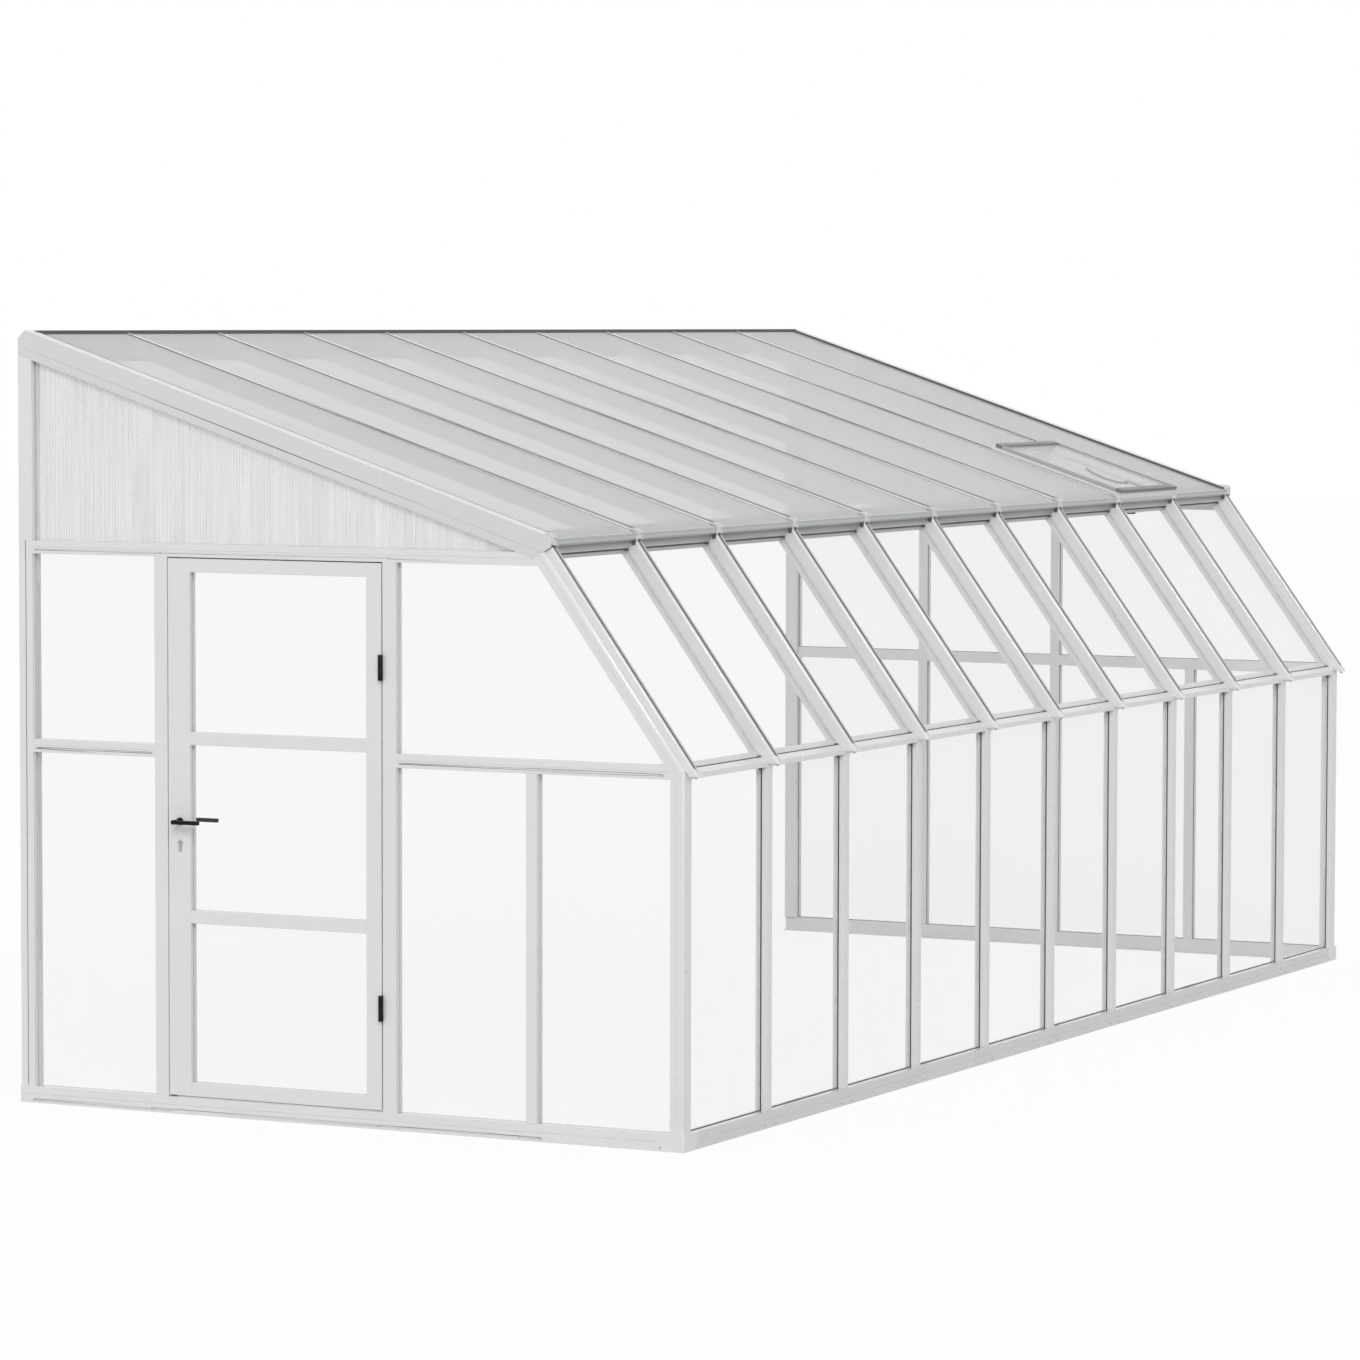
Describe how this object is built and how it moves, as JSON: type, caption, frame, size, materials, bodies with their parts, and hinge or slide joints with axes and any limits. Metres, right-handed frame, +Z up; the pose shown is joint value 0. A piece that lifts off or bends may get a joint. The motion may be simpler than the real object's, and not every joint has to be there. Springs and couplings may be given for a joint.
{
  "type": "lean-to sunroom",
  "caption": "White lean-to sunroom with a twin-wall roof, slanted eave glazing, clear panes between white bars, a hinged half-glazed door with lever lock and an opening roof vent",
  "frame": {"origin": "middle of the overall box, on the floor", "axes": "+X along the room away from the door end, +Y to the house wall, +Z up"},
  "size_m": [6.2186, 2.6138, 2.6705],
  "materials": {
    "eave_resin": "satin grey",
    "white_resin": "satin white resin",
    "clear_sheet": "clear polished sheet",
    "twin_wall": "translucent twin-wall sheet",
    "clip_plastic": "translucent moulding",
    "black_hardware": "satin black",
    "plated_steel": "zinc plated",
    "grey_rail": "satin grey",
    "dark_seal": "matt"
  },
  "bodies": {
    "frame": {"front_base_rails": "white_resin", "end_base_rails": "white_resin", "base_splices": "white_resin", "base_corners": "white_resin", "base_screws": "plated_steel", "corner_posts": "white_resin", "wall_posts": "white_resin", "front_posts": "white_resin", "front_panes": "clear_sheet", "low_eave_rails": "white_resin", "eave_bars": "white_resin", "end_eave_bars": "white_resin", "eave_panes": "clear_sheet", "bar_end_caps": "white_resin", "upper_eave_rails": "eave_resin", "roof_rafters": "white_resin", "end_rafters": "white_resin", "roof_panels": "twin_wall", "panel_end_trims": "eave_resin", "eave_clips": "clip_plastic", "wall_plate": "white_resin", "roof_seals": "dark_seal", "door_lock_jamb": "white_resin", "door_hinge_jamb": "white_resin", "strike_plate": "plated_steel", "door_end_mullion": "white_resin", "gable_mid_rails": "white_resin", "gable_head_rails": "white_resin", "door_end_panes": "clear_sheet", "gable_panels": "twin_wall", "rail_screws": "plated_steel", "far_end_mullions": "white_resin", "far_end_panes": "clear_sheet", "hinge_frame_leaves": "black_hardware", "hinge_frame_screws": "black_hardware", "vent_curb": "white_resin", "vent_hinge_brackets": "white_resin", "vent_stay_peg": "black_hardware"},
    "door": {"hinge_door_leaves": "black_hardware", "hinge_door_screws": "black_hardware", "door_hinge_stile": "white_resin", "door_lock_stile": "white_resin", "door_top_rail": "white_resin", "door_bottom_rail": "white_resin", "door_glazing_bars": "white_resin", "door_panes": "clear_sheet", "lock_case": "plated_steel", "lock_cylinder": "plated_steel", "lever_roses": "black_hardware"},
    "lever_set": {"outer_lever": "black_hardware", "inner_lever": "black_hardware", "lever_spindle": "plated_steel"},
    "latch_bolt": {"latch_bolt": "plated_steel"},
    "dead_bolt": {"dead_bolt": "plated_steel"},
    "cylinder_plug": {"cylinder_plug": "plated_steel"},
    "vent_sash": {"vent_sash_sides": "grey_rail", "vent_sash_rails": "grey_rail", "vent_sash_panel": "twin_wall", "vent_stay_bracket": "black_hardware"},
    "vent_stay": {"vent_stay_arm": "black_hardware"}
  },
  "joints": [
    {"name": "door_swing", "type": "hinge", "parent": "frame", "child": "door", "pos_m": [-3.06925, -0.13264, 0.365], "axis": [0, 0, 1], "range_deg": [0, 110]},
    {"name": "lever_turn", "type": "hinge", "parent": "door", "child": "lever_set", "pos_m": [-3.05925, 0.65786, 1.003], "axis": [1, 0, 0], "range_deg": [0, 35], "stiffness_Nm_per_rad": 0.6},
    {"name": "latch_slide", "type": "slide", "parent": "door", "child": "latch_bolt", "axis": [0, -1, 0], "range_m": [0, 0.011]},
    {"name": "key_turn", "type": "hinge", "parent": "door", "child": "cylinder_plug", "pos_m": [-3.05925, 0.65786, 0.93], "axis": [1, 0, 0], "range_deg": [0, 360]},
    {"name": "dead_slide", "type": "slide", "parent": "door", "child": "dead_bolt", "axis": [0, 1, 0], "range_m": [0, 0.014]},
    {"name": "vent_swing", "type": "hinge", "parent": "frame", "child": "vent_sash", "pos_m": [2.15575, -0.20947, 2.20179], "axis": [-1, 0, 0], "range_deg": [0, 35]},
    {"name": "stay_swing", "type": "hinge", "parent": "vent_sash", "child": "vent_stay", "pos_m": [2.19575, -0.66214, 2.04002], "axis": [-1, 0, 0], "range_deg": [0, 100]}
  ],
  "couplings": [
    {"joint": "latch_slide", "follows": "lever_turn", "m_per_rad": 0.018},
    {"joint": "key_turn", "follows": "dead_slide", "rad_per_m": 448.8}
  ]
}
